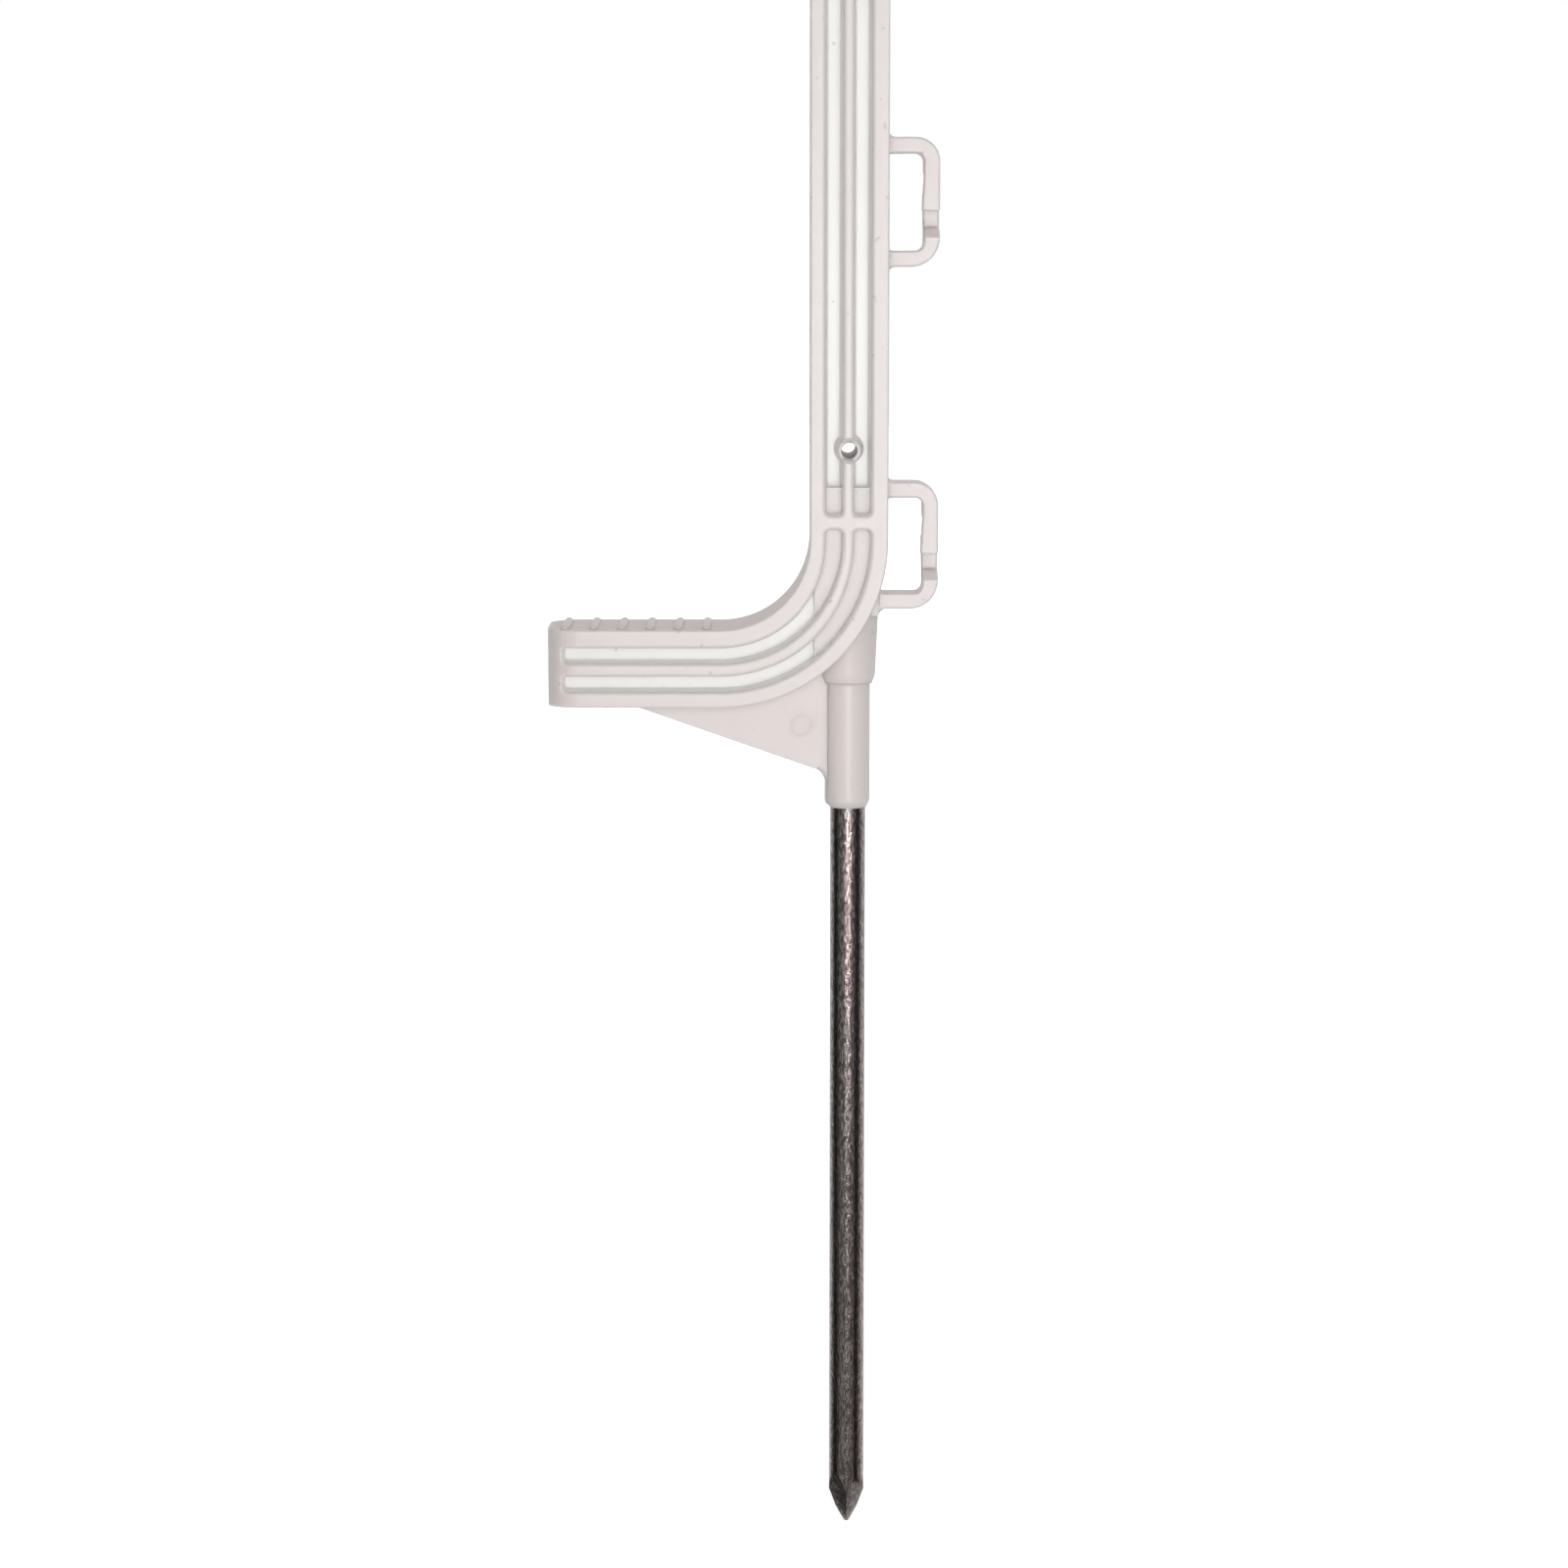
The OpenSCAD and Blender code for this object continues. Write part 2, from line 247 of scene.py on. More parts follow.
def plastic_material(name, plain_color, passes=0.75, clean_from=None, fade=30 * mm):
    """Moulded plastic that lets a share of the light pass into it.

    With clean_from, its tint fades out to the body's own colour above that height.
    """
    material, nodes, links, out = new_material(name)
    shader = nodes.new("ShaderNodeBsdfPrincipled")
    shader.inputs["IOR"].default_value = 1.49
    shader.inputs["Specular IOR Level"].default_value = 0.45
    shader.inputs["Subsurface Weight"].default_value = passes
    shader.inputs["Subsurface Scale"].default_value = 5 * mm
    shader.inputs["Subsurface Radius"].default_value = (1.0, 0.9, 0.85)
    links.new(shader.outputs[0], out.inputs["Surface"])
    place = nodes.new("ShaderNodeTexCoord")

    # Slow variation in tone along the moulding
    cloud = noise(nodes, links, place.outputs["Object"], scale=22, detail=3)
    tone = nodes.new("ShaderNodeMapRange")
    tone.inputs["From Min"].default_value = 0.35
    tone.inputs["From Max"].default_value = 0.75
    tone.inputs["To Max"].default_value = 0.09
    links.new(cloud.outputs["Fac"], tone.inputs["Value"])
    worn = nodes.new("ShaderNodeMix")
    worn.data_type = "RGBA"
    worn.inputs["A"].default_value = plain_color
    worn.inputs["B"].default_value = grime_color
    links.new(tone.outputs["Result"], worn.inputs["Factor"])
    if clean_from is not None:
        axes = nodes.new("ShaderNodeSeparateXYZ")
        links.new(place.outputs["Object"], axes.inputs[0])
        height = nodes.new("ShaderNodeMapRange")
        height.inputs["From Min"].default_value = clean_from
        height.inputs["From Max"].default_value = clean_from + fade
        links.new(axes.outputs["Z"], height.inputs["Value"])
        faded = nodes.new("ShaderNodeMix")
        faded.data_type = "RGBA"
        faded.inputs["A"].default_value = plain_color
        faded.inputs["B"].default_value = body_color
        links.new(height.outputs["Result"], faded.inputs["Factor"])
        links.new(faded.outputs["Result"], worn.inputs["A"])

    # Sparse dark specks of dirt caught in the surface
    speck = noise(nodes, links, place.outputs["Object"], scale=420, detail=1)
    few = nodes.new("ShaderNodeMapRange")
    few.inputs["From Min"].default_value = 0.74
    few.inputs["From Max"].default_value = 0.80
    few.inputs["To Max"].default_value = 0.35
    links.new(speck.outputs["Fac"], few.inputs["Value"])
    specked = nodes.new("ShaderNodeMix")
    specked.data_type = "RGBA"
    specked.inputs["B"].default_value = dirt_color
    links.new(worn.outputs["Result"], specked.inputs["A"])
    links.new(few.outputs["Result"], specked.inputs["Factor"])
    links.new(specked.outputs["Result"], shader.inputs["Base Color"])

    # Fine texture of the mould, in gloss and in relief
    grain = noise(nodes, links, place.outputs["Object"], scale=900, detail=4)
    gloss = nodes.new("ShaderNodeMapRange")
    gloss.inputs["To Min"].default_value = 0.28
    gloss.inputs["To Max"].default_value = 0.42
    links.new(grain.outputs["Fac"], gloss.inputs["Value"])
    links.new(gloss.outputs["Result"], shader.inputs["Roughness"])
    waves = noise(nodes, links, place.outputs["Object"], scale=130, detail=2)
    relief = nodes.new("ShaderNodeBump")
    relief.inputs["Strength"].default_value = 0.12
    relief.inputs["Distance"].default_value = 0.05 * mm
    links.new(grain.outputs["Fac"], relief.inputs["Height"])
    swell = nodes.new("ShaderNodeBump")
    swell.inputs["Strength"].default_value = 0.25
    swell.inputs["Distance"].default_value = 0.12 * mm
    links.new(waves.outputs["Fac"], swell.inputs["Height"])
    links.new(relief.outputs["Normal"], swell.inputs["Normal"])
    links.new(swell.outputs["Normal"], shader.inputs["Normal"])
    return material


plastic = plastic_material("moulded_plastic", body_color)
# Painted light: the whiter web plastic lifts the shade in the hollows where it is used
painted_light_plastic = plastic_material("web_painted_light_plastic", web_painted_light_color, passes=0.1)


# ---- Ribbed bar ---------------------------------------------------------------------------
# Foot, bend, column and head are one bar of white plastic with the same section. Each face is a
# sheet of strips with rounded long edges, led along the bar. The channels are inset and sunk
# into it with draft and rounded edges, then both faces are joined round the outside.
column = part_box("column")
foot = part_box("tread_foot")
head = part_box("column_head")
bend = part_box("foot_bend")
half_w = column[1].x
half_d = column[1].y
bend_centre = Vector((bend[0].x, 0, bend[1].z))
foot_mid_z = foot[0].z + half_w
end_r = 8 * mm
end_wall = 4 * mm
edge_r = 0.5 * mm

# Tolerances for picking out the edges and faces of a mesh
near = 0.01 * mm
margin = 0.1 * mm

# The edges of the strips across the bar, and the depth and draft of the channels
flange_in = 3.8 * mm
flange_out = 4.3 * mm
rib_w = 2.7 * mm
channel_w = (2 * half_w - flange_in - flange_out - rib_w) / 2
across = [-half_w, -half_w + flange_in, -half_w + flange_in + channel_w]
across += [across[2] + rib_w, half_w - flange_out, half_w]
web_half_d = 2.5 * mm
upper_draft = math.radians(2.4)
foot_web_half_d = 6 * mm
lower_draft = math.radians(0.6)

# Heights on the column, and the number of steps along the bar
cross_rib = (column[0].z + 2.6 * mm, column[0].z + 6.2 * mm)
core_top = column[0].z + 12.8 * mm
hole_z = (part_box("wire_boss")[0].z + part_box("wire_boss")[1].z) / 2
boss_margin = 6 * mm
foot_steps = 4
bend_steps = 40
column_steps = 10


def round_sharp_edges(bm, offset, segments, keep=lambda edge: True, least=40, clamp=True):
    """Rounds the edges where two faces meet at more than least degrees."""
    edges = [
        e for e in bm.edges
        if len(e.link_faces) == 2
        and e.calc_face_angle(0) > math.radians(least)
        and keep(e)]
    bmesh.ops.bevel(
        bm, geom=edges, offset=offset, offset_type="OFFSET", segments=segments,
        profile=0.5, affect="EDGES", material=-1, clamp_overlap=clamp)


def finish_mesh(obj, *materials, slot="plastic", sharp=35):
    """Smooth shading that keeps hard edges hard, the finish and the frame's calls."""
    bm = bmesh.new()
    bm.from_mesh(obj.data)
    for face in bm.faces:
        face.smooth = True
    for edge in bm.edges:
        edge.smooth = edge.calc_face_angle(0) < math.radians(sharp)
    bm.to_mesh(obj.data)
    bm.free()
    for material in materials:
        obj.data.materials.append(material)
    weighted = obj.modifiers.new("face_weights", "WEIGHTED_NORMAL")
    weighted.keep_sharp = True
    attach(obj, "root")


def led_on(bm, edges, step):
    """Draws a row of edges on by one step and returns the new row."""
    geom = bmesh.ops.extrude_edge_only(bm, edges=edges)["geom"]
    verts = [g for g in geom if isinstance(g, bmesh.types.BMVert)]
    bmesh.ops.translate(bm, verts=verts, vec=step)
    return [
        g for g in geom
        if isinstance(g, bmesh.types.BMEdge) and all(v in verts for v in g.verts)]


def led_round(bm, edges, centre, axis, angle, steps):
    """Turns a row of edges about an axis and returns the new row."""
    geom = edges + list({v for e in edges for v in e.verts})
    last = bmesh.ops.spin(
        bm, geom=geom, cent=centre, axis=axis, dvec=(0, 0, 0), angle=angle,
        steps=steps, use_duplicate=False)["geom_last"]
    return [g for g in last if isinstance(g, bmesh.types.BMEdge)]


def path_row(bm, points):
    """A row of edges through a few points."""
    verts = [bm.verts.new(point) for point in points]
    return [bm.edges.new(pair) for pair in zip(verts, verts[1:])]


bar_bm = bmesh.new()
section = [(u, -half_d) for u in across[1:-1]]
for turn in (0, 22.5, 45, 67.5, 90):
    fall = edge_r * (1 - math.sin(math.radians(turn)))
    shift = edge_r * (1 - math.cos(math.radians(turn)))
    section.append((-half_w + shift, fall - half_d))
    section.append((half_w - shift, fall - half_d))
row = path_row(bar_bm, [(foot[0].x, end_r + y, foot_mid_z - u) for u, y in sorted(section)])

# The free end of the foot curves round to the front face, in wider steps past the end wall
turns = [math.radians(a) for a in (0, 10, 20, 30, 40, 50, 60, 75, 90)]
for a, b in zip(turns, turns[1:]):
    row = led_on(bar_bm, row, (
        end_r * (math.cos(a) - math.cos(b)), -end_r * (math.sin(b) - math.sin(a)), 0))
straight = bend_centre.x - foot[0].x - end_r
for _ in range(foot_steps):
    row = led_on(bar_bm, row, (straight / foot_steps, 0, 0))
row = led_round(bar_bm, row, bend_centre, (0, -1, 0), math.pi / 2, bend_steps)
stations = [
    column[0].z, cross_rib[0], cross_rib[1], core_top, hole_z - boss_margin, hole_z + boss_margin]
rise = (head[1].z - end_r - stations[-1]) / column_steps
stations += [stations[-1] + rise * (k + 1) for k in range(column_steps)]
for z0, z1 in zip(stations, stations[1:]):
    row = led_on(bar_bm, row, (0, 0, z1 - z0))
for a, b in zip(reversed(turns), list(reversed(turns))[1:]):
    row = led_on(bar_bm, row, (
        0, end_r * (math.sin(a) - math.sin(b)), end_r * (math.cos(b) - math.cos(a))))
bmesh.ops.remove_doubles(bar_bm, verts=bar_bm.verts, dist=0.002 * mm)


def place_across(point):
    """Place of a point across the bar, from the foot's side of the column to the loops' side."""
    if point.z >= bend_centre.z:
        return point.x
    if point.x <= bend_centre.x:
        return foot_mid_z - point.z
    return math.hypot(point.x - bend_centre.x, point.z - bend_centre.z) + bend_centre.x


# Below the column the edges of the channels lie a little further out, with a gradual start
edge_shifts = (0.7 * mm, 0.25 * mm, 0.8 * mm, 0.35 * mm)
full_shift_turn = math.radians(50)
for v in bar_bm.verts:
    place = place_across(v.co)
    for edge_place, shift in zip(across[1:5], edge_shifts):
        if abs(place - edge_place) > near or v.co.z > bend_centre.z - near:
            continue
        if v.co.x <= bend_centre.x:
            v.co.z -= shift
        else:
            arm = Vector((v.co.x - bend_centre.x, 0, v.co.z - bend_centre.z))
            share = min(1, math.atan2(-arm.z, arm.x) / full_shift_turn)
            v.co += arm.normalized() * shift * share


def in_lower_run(point):
    return point.z < cross_rib[0] and point.x > foot[0].x + end_wall


def in_upper_run(point):
    return cross_rib[1] < point.z < head[1].z - end_wall


# Two channels a side, each in two runs with the cross rib between them. The column's run is
# deeper and has more draft than the one in foot and bend.
body_slot, web_painted_light_slot, top_shade_and_dirt_slot, foot_web_painted_light_slot = range(4)
runs = (
    (in_lower_run, lower_draft, foot_web_half_d, foot_web_painted_light_slot),
    (in_upper_run, upper_draft, web_half_d, web_painted_light_slot))
for left, right in ((across[1], across[2]), (across[3], across[4])):
    for in_run, draft, floor_half_d, floor_slot in runs:
        strip = [
            f for f in bar_bm.faces
            if left < place_across(f.calc_center_median()) < right
            and in_run(f.calc_center_median())]
        walls = bmesh.ops.inset_region(
            bar_bm, faces=strip, use_boundary=True, use_even_offset=True,
            thickness=(half_d - floor_half_d) * math.tan(draft), depth=0)["faces"]
        sunk = list({v for f in strip for v in f.verts})
        bmesh.ops.scale(
            bar_bm, vec=(1, 0, 1), verts=sunk, space=Matrix.Translation((0, floor_half_d, 0)))
        # The walls and floors take the whiter plastic, painted light in place of the channels'
        # shade
        for face in walls:
            face.material_index = web_painted_light_slot
        for face in strip:
            face.material_index = floor_slot

# Round the channels' four upright corners first, then along their floors, then their mouths
corner_r = 1.2 * mm
corner_depth = 5 * mm
floor_fillet = 0.4 * mm
mouth_r = 0.9 * mm
mouth_y = -half_d + 1.6 * mm
bar_bm.normal_update()
bmesh.ops.recalc_face_normals(bar_bm, faces=bar_bm.faces)
round_sharp_edges(
    bar_bm, corner_r, 4, lambda e: abs(e.verts[0].co.y - e.verts[1].co.y) > corner_depth)
bar_bm.normal_update()
for in_run, _, floor_half_d, _ in runs:
    round_sharp_edges(
        bar_bm, floor_fillet, 3, lambda e: all(
            v.co.y > -floor_half_d - margin and in_run(v.co) for v in e.verts), least=50)
    bar_bm.normal_update()
round_sharp_edges(
    bar_bm, mouth_r, 5, lambda e: all(v.co.y < mouth_y for v in e.verts), least=50,
    clamp=False)

# The same face at the back, and the sides between the two
bmesh.ops.mirror(
    bar_bm, geom=bar_bm.verts[:] + bar_bm.edges[:] + bar_bm.faces[:],
    matrix=Matrix.Identity(4), merge_dist=0, axis="Y")
rim = [e for e in bar_bm.edges if e.is_boundary]
bmesh.ops.bridge_loops(bar_bm, edges=rim)
bmesh.ops.recalc_face_normals(bar_bm, faces=bar_bm.faces)

# The channels' rounded mouths take the body's plastic, and the side along the foot's top takes
# a darker plastic, partly dirt and partly painted shade
mouth_half_d = half_d - 1.2 * mm
for face in bar_bm.faces:
    middle = face.calc_center_median()
    inward = max(0, foot[0].x + end_r - middle.x, middle.z - head[1].z + end_r)
    curved_back = end_r - math.sqrt(max(0, end_r ** 2 - inward ** 2))
    if abs(middle.y) > mouth_half_d - curved_back:
        face.material_index = body_slot
    if place_across(middle) < -half_w + 2 * near:
        face.material_index = top_shade_and_dirt_slot
bar = new_object("ribbed_bar", bar_bm)


def cut_away(obj, name, cutter_bm):
    """Takes the cutter's shape out of a piece and removes the cutter."""
    cutter = new_object(name, cutter_bm)
    cut = obj.modifiers.new(name, "BOOLEAN")
    cut.operation = "DIFFERENCE"
    cut.solver = "EXACT"
    cut.object = cutter
    with bpy.context.temp_override(object=obj, active_object=obj):
        bpy.ops.object.modifier_apply(modifier=cut.name)
    bpy.data.objects.remove(cutter)


# The middle rib gives way to the boss of the wire hole, on both faces
bore_cut_r = 2.3 * mm
relief_r = 3.2 * mm
relief_flare = 0.35 * mm
relief_depth = 1.6 * mm
across_y = Matrix.Translation((0, 0, hole_z)) @ Matrix.Rotation(math.pi / 2, 4, "X")
bore_bm = bmesh.new()
bmesh.ops.create_cone(
    bore_bm, cap_ends=True, segments=48, radius1=bore_cut_r, radius2=bore_cut_r,
    depth=3 * half_d, matrix=across_y)
cut_away(bar, "boss_bore", bore_bm)
for side in (-1, 1):
    relief_bm = bmesh.new()
    bmesh.ops.create_cone(
        relief_bm, cap_ends=True, segments=48, radius1=relief_r + side * relief_flare,
        radius2=relief_r - side * relief_flare, depth=relief_depth,
        matrix=Matrix.Translation((0, side * half_d, 0)) @ across_y)
    cut_away(bar, "boss_relief", relief_bm)

# The foot's top and the bend's inside are darker, partly dirt where boots rub and partly
# painted shade on the upward faces, and clean on the column
top_shade_and_dirt_color = (0.69, 0.57, 0.53, 1)
top_shade_and_dirt_to = bend_centre.z - 12 * mm
# The foot's channel floors take a paler plastic than the body: painted light in place of the shade
# deep in the channels
foot_web_painted_light_color = (0.895, 0.89, 0.87, 1)
finish_mesh(
    bar, plastic, painted_light_plastic,
    plastic_material("top_shade_and_dirt_plastic", top_shade_and_dirt_color, clean_from=top_shade_and_dirt_to),
    plastic_material("foot_web_painted_light_plastic", foot_web_painted_light_color, passes=0.1))
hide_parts("column", "foot_bend", "tread_foot", "column_head")


# ---- Spike core ---------------------------------------------------------------------------
# Solid white plastic around the spike's anchored shank. It leaves the channels 5 mm deep from
# the bend's cut to just under the wire hole. It is drawn as one outline and given its depth.
core_half_d = 10 * mm
core_x = -8.6 * mm
core_r = 40 * mm
core_edge_r = 0.15 * mm
core_bm = bmesh.new()
start = core_bm.verts.new((bend_centre.x + core_r, -core_half_d, bend_centre.z))
turn = math.acos((core_x - bend_centre.x) / core_r)
bmesh.ops.spin(
    core_bm, geom=[start], cent=bend_centre, axis=(0, 1, 0), dvec=(0, 0, 0),
    angle=turn, steps=24, use_duplicate=False)
low = min(core_bm.verts, key=lambda v: v.co.z)
corner_1 = core_bm.verts.new((core_x, -core_half_d, core_top))
corner_2 = core_bm.verts.new((start.co.x, -core_half_d, core_top))
for pair in ((low, corner_1), (corner_1, corner_2), (corner_2, start)):
    core_bm.edges.new(pair)
bmesh.ops.contextual_create(core_bm, geom=core_bm.edges[:])
grown = bmesh.ops.extrude_face_region(core_bm, geom=core_bm.faces[:])["geom"]
bmesh.ops.translate(
    core_bm, vec=(0, 2 * core_half_d, 0),
    verts=[g for g in grown if isinstance(g, bmesh.types.BMVert)])
bmesh.ops.recalc_face_normals(core_bm, faces=core_bm.faces)
round_sharp_edges(
    core_bm, core_edge_r, 2, lambda e: all(v.co.z > core_top - margin for v in e.verts))
# The raised floors take the body's plastic; the top and sides take the whiter web plastic, painted
# light that lifts the shade at the step
for face in core_bm.faces:
    is_floor = abs(face.normal.y) >= 0.95
    face.material_index = body_slot if is_floor else web_painted_light_slot
core = new_object("spike_core", core_bm)
finish_mesh(core, plastic, painted_light_plastic)


# ---- Wire boss ----------------------------------------------------------------------------
# A round plastic boss moulded through the web, with the wire hole in it. Its wall is turned
# from one profile: a bore, a narrow rounded face at each end and a flare towards the web.
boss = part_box("wire_boss")
boss_half_d = boss[1].y
bore_r = 1.9 * mm
boss_r = 2.85 * mm
boss_root_r = 4.0 * mm
boss_edge_r = 0.3 * mm
weld_dist = 0.001 * mm
boss_bm = bmesh.new()
wall = path_row(boss_bm, [
    (bore_r, -boss_half_d, hole_z), (boss_r, -boss_half_d, hole_z), (boss_root_r, 0, hole_z),
    (boss_r, boss_half_d, hole_z), (bore_r, boss_half_d, hole_z)])
boss_bm.edges.new((wall[0].verts[0], wall[-1].verts[1]))
end_corners = [v for v in boss_bm.verts if abs(v.co.y) > boss_half_d / 2]
bmesh.ops.bevel(
    boss_bm, geom=end_corners, offset=boss_edge_r, offset_type="OFFSET", segments=3,
    profile=0.5, affect="VERTICES", material=-1)
bmesh.ops.spin(
    boss_bm, geom=boss_bm.verts[:] + boss_bm.edges[:], cent=(0, 0, hole_z), axis=(0, 1, 0),
    dvec=(0, 0, 0), angle=2 * math.pi, steps=64, use_merge=True, use_duplicate=False)
bmesh.ops.remove_doubles(boss_bm, verts=boss_bm.verts, dist=weld_dist)
bmesh.ops.recalc_face_normals(boss_bm, faces=boss_bm.faces)

# The bore is dark brown as painted shade inside the hole, and the wall apart from its ends
# takes the whiter web plastic, painted light
bore_painted_shade_color = (0.24, 0.19, 0.155, 1)
bore_painted_shade_slot, wall_painted_light_slot = 1, 2
for face in boss_bm.faces:
    middle = face.calc_center_median()
    if math.hypot(middle.x, middle.z - hole_z) < bore_r + margin / 2:
        face.material_index = bore_painted_shade_slot
    elif abs(middle.y) < boss_half_d - 2 * boss_edge_r:
        face.material_index = wall_painted_light_slot
boss_piece = new_object("wire_hole_boss", boss_bm)
finish_mesh(boss_piece, plastic, plastic_material("bore_painted_shade_plastic", bore_painted_shade_color), painted_light_plastic)
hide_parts("wire_boss")


# ---- Tread ridges -------------------------------------------------------------------------
# Six low plastic ridges across the top of the foot, for the sole of a boot. Each is a ball
# drawn out across the foot and sunk to half its height, so its ends and its top are round.
ridge_color = (0.76, 0.66, 0.625, 1)
ridge_count = 6
ridge_pitch = 7.1 * mm
first_ridge_x = foot[1].x - 3.5 * mm
ridge_z = foot[0].z + 2 * half_w
ridge_half_l = half_d - 3.4 * mm
ball_r = 1 * mm
wider, lower = 1.1, 0.9
ridge_bm = bmesh.new()
for k in range(ridge_count):
    x = first_ridge_x - k * ridge_pitch
    ball = bmesh.ops.create_uvsphere(
        ridge_bm, u_segments=24, v_segments=16, radius=ball_r,
        matrix=Matrix.Rotation(math.pi / 2, 4, "X"))["verts"]
    for v in ball:
        side = 1 if v.co.y > 0 else -1
        v.co = (
            x + wider * v.co.x, v.co.y + side * (ridge_half_l - ball_r), ridge_z + lower * v.co.z)
bmesh.ops.recalc_face_normals(ridge_bm, faces=ridge_bm.faces)
ridges = new_object("tread_ridges", ridge_bm)
finish_mesh(ridges, plastic_material("ridge_plastic", ridge_color, passes=0.05))


# ---- Spike socket -------------------------------------------------------------------------
# Plastic tube and collar that hold the spike, turned from one profile with soft corners. The
# collar widens upwards into the bend, and the tube's mouth is chamfered. Below the collar's
# chamfer a narrow ledge makes a crease round the tube, and a darker plastic on the lowest part
# of the chamfer adds painted shade to that crease.
socket_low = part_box("spike_socket")[0].z
inside_r = 3.0 * mm
mouth_inner_r = 4.35 * mm
mouth_chamfer = 0.88 * mm
tube_r = 5.6 * mm
collar_r = 6.9 * mm
collar_z = 33.95 * mm
collar_top = Vector((8.49 * mm, 0, bend_centre.z))
ledge_w = 0.5 * mm
ledge_z = collar_z - 2.3 * mm
crease_h = 0.65 * mm
crease_painted_shade_color = (0.6, 0.55, 0.53, 1)
soft_r = 0.5 * mm
mouth_corner = Vector((tube_r, 0, socket_low + 2 * mouth_chamfer))
collar_corner = Vector((collar_r, 0, collar_z))
socket_bm = bmesh.new()
path_row(socket_bm, [
    (inside_r, 0, socket_low + 1 * mm), (mouth_inner_r, 0, socket_low),
    (tube_r - mouth_chamfer, 0, socket_low), mouth_corner,
    (tube_r, 0, ledge_z), (tube_r + ledge_w, 0, ledge_z + margin),
    (tube_r + ledge_w + 2 * margin, 0, ledge_z + crease_h), collar_corner, collar_top,
    (inside_r, 0, collar_top.z)])
soft_corners = [
    v for v in socket_bm.verts
    if min((v.co - mouth_corner).length, (v.co - collar_corner).length) < near]
bmesh.ops.bevel(
    socket_bm, geom=soft_corners, offset=soft_r, offset_type="OFFSET", segments=4,
    profile=0.5, affect="VERTICES", material=-1)
bmesh.ops.spin(
    socket_bm, geom=socket_bm.verts[:] + socket_bm.edges[:], cent=(0, 0, 0), axis=(0, 0, 1),
    dvec=(0, 0, 0), angle=2 * math.pi, steps=96, use_merge=True, use_duplicate=False)
bmesh.ops.remove_doubles(socket_bm, verts=socket_bm.verts, dist=weld_dist)
bmesh.ops.holes_fill(socket_bm, edges=[e for e in socket_bm.edges if e.is_boundary])
bmesh.ops.recalc_face_normals(socket_bm, faces=socket_bm.faces)
# The lowest part of the chamfer, just above the ledge, takes the darker plastic: painted shade
for face in socket_bm.faces:
    in_painted_crease_shade = 0 < face.calc_center_median().z - ledge_z < crease_h
    face.material_index = 1 if in_painted_crease_shade else 0
socket = new_object("spike_tube_and_collar", socket_bm)
finish_mesh(socket, plastic, plastic_material("crease_painted_shade_plastic", crease_painted_shade_color, passes=0.05))
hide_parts("spike_socket")


# ---- Gusset -------------------------------------------------------------------------------
# Plastic plate that stiffens the corner between foot, bend and tube, run out as a thin fin
# down the tube. It is an outline given its thickness, with its free edge rounded. A small
# plain ring is moulded on each face.
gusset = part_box("gusset_plate")
plate_half_t = gusset[1].y
fin_x = -tube_r - 0.3 * mm
inside_x = -3 * mm
slope = math.tan(math.radians(19.3))
elbow_z = 9 * mm
elbow_r = 2.6 * mm
free_edge_r = 1.3 * mm
top_z = foot[0].z + 1 * mm
plate_bm = bmesh.new()
outline = [plate_bm.verts.new((x, -plate_half_t, z)) for x, z in (
    (fin_x, gusset[0].z), (inside_x, gusset[0].z), (inside_x, bend_centre.z - 8 * mm),
    (bend_centre.x, top_z), (fin_x - (top_z - elbow_z) / slope, top_z), (fin_x, elbow_z))]
plate_bm.faces.new(outline)
bmesh.ops.bevel(
    plate_bm, geom=[outline[-1]], offset=elbow_r, offset_type="OFFSET", segments=6,
    profile=0.5, affect="VERTICES", material=-1)
grown = bmesh.ops.extrude_face_region(plate_bm, geom=plate_bm.faces[:])["geom"]
bmesh.ops.translate(
    plate_bm, vec=(0, 2 * plate_half_t, 0),
    verts=[g for g in grown if isinstance(g, bmesh.types.BMVert)])
bmesh.ops.recalc_face_normals(plate_bm, faces=plate_bm.faces)
outside_tube = (fin_x + inside_x) / 2
below_foot = (foot[0].z + top_z) / 2
round_sharp_edges(
    plate_bm, free_edge_r, 4, lambda e: all(v.co.z < below_foot for v in e.verts)
    and min(v.co.x for v in e.verts) < outside_tube)
plate_piece = new_object("gusset_web", plate_bm)
finish_mesh(plate_piece, plastic)
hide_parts("gusset_plate")

ring_centre = Vector((-12 * mm, 0, 21 * mm))
ring_r = 2.6 * mm
bead_r = 0.8 * mm
bead_relief = 0.025 * mm
bead_y = plate_half_t + bead_relief - bead_r
ring_bm = bmesh.new()
for side in (-1, 1):
    bead = bmesh.ops.create_circle(
        ring_bm, segments=32, radius=bead_r,
        matrix=Matrix.Translation(ring_centre + Vector((ring_r, side * bead_y, 0))))
    bmesh.ops.spin(
        ring_bm, geom=bead["verts"] + list({e for v in bead["verts"] for e in v.link_edges}),
        cent=ring_centre, axis=(0, 1, 0), dvec=(0, 0, 0), angle=2 * math.pi,
        steps=40, use_merge=True, use_duplicate=False)
bmesh.ops.remove_doubles(ring_bm, verts=ring_bm.verts, dist=weld_dist)
bmesh.ops.recalc_face_normals(ring_bm, faces=ring_bm.faces)
ring = new_object("gusset_mould_rings", ring_bm)
finish_mesh(ring, plastic_material("ring_plastic", body_color, passes=0.05))


